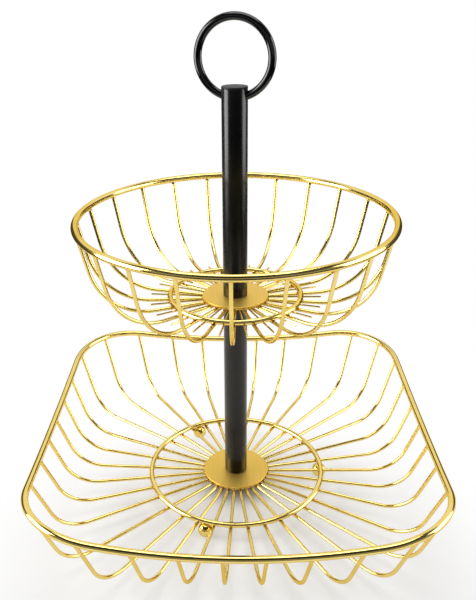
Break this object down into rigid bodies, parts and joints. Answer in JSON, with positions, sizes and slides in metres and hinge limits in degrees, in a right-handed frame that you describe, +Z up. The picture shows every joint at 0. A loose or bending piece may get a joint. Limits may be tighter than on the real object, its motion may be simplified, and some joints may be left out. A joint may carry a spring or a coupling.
{
  "type": "tiered wire basket",
  "caption": "Two-tier fruit basket of gold wire: a rounded-square lower basket and a round upper basket on a black post, with a swinging ring handle on top.",
  "frame": {"origin": "on the floor under the post, at the centre of the stand", "axes": "+Z up the post, -Y towards the front, +X to the right"},
  "size_m": [0.322, 0.322, 0.3904],
  "materials": {
    "gold_wire": "polished light gold plating",
    "brushed_gold": "satin light gold plating",
    "black_paint": "semi-gloss black",
    "zinc_steel": "bright zinc",
    "nylon": "matte"
  },
  "bodies": {
    "lower_tier": {"lower_rim": "gold_wire", "lower_right_ribs": "gold_wire", "lower_back_ribs": "gold_wire", "lower_left_ribs": "gold_wire", "lower_front_ribs": "gold_wire", "lower_corner_ribs": "gold_wire", "lower_base_ring": "gold_wire", "lower_hub_disc": "brushed_gold", "foot_right": "gold_wire", "foot_back_left": "gold_wire", "foot_front_left": "gold_wire", "lower_post": "black_paint", "lower_post_bottom_insert": "zinc_steel", "lower_post_top_insert": "zinc_steel", "base_bolt": "zinc_steel", "base_washer": "zinc_steel", "joint_stud": "zinc_steel"},
    "upper_basket": {"upper_rim": "gold_wire", "upper_right_ribs": "gold_wire", "upper_back_ribs": "gold_wire", "upper_left_ribs": "gold_wire", "upper_front_ribs": "gold_wire", "upper_base_spokes": "gold_wire", "upper_base_ring": "gold_wire", "upper_hub_disc": "brushed_gold"},
    "clamp_washer": {"post_washer": "nylon"},
    "upper_post": {"upper_post": "black_paint", "upper_post_insert": "zinc_steel", "post_cap": "black_paint"},
    "ring_handle": {"ring_handle": "black_paint"}
  },
  "joints": [
    {"name": "upper_basket_swivel", "type": "hinge", "parent": "lower_tier", "child": "upper_basket", "pos_m": [0, 0, 0.1808], "axis": [0, 0, 1], "continuous": true},
    {"name": "post_turn", "type": "hinge", "parent": "lower_tier", "child": "clamp_washer", "pos_m": [0, 0, 0.1821], "axis": [0, 0, 1], "range_deg": [0, 3240]},
    {"name": "post_lift", "type": "slide", "parent": "clamp_washer", "child": "upper_post", "axis": [0, 0, 1], "range_m": [0, 0.01125]},
    {"name": "ring_swing", "type": "hinge", "parent": "upper_post", "child": "ring_handle", "pos_m": [0, 0, 0.33501], "axis": [0.9563, -0.2924, 0], "range_deg": [-165, 165]}
  ],
  "couplings": [
    {"joint": "post_turn", "follows": "post_lift", "rad_per_m": 5026.5}
  ]
}
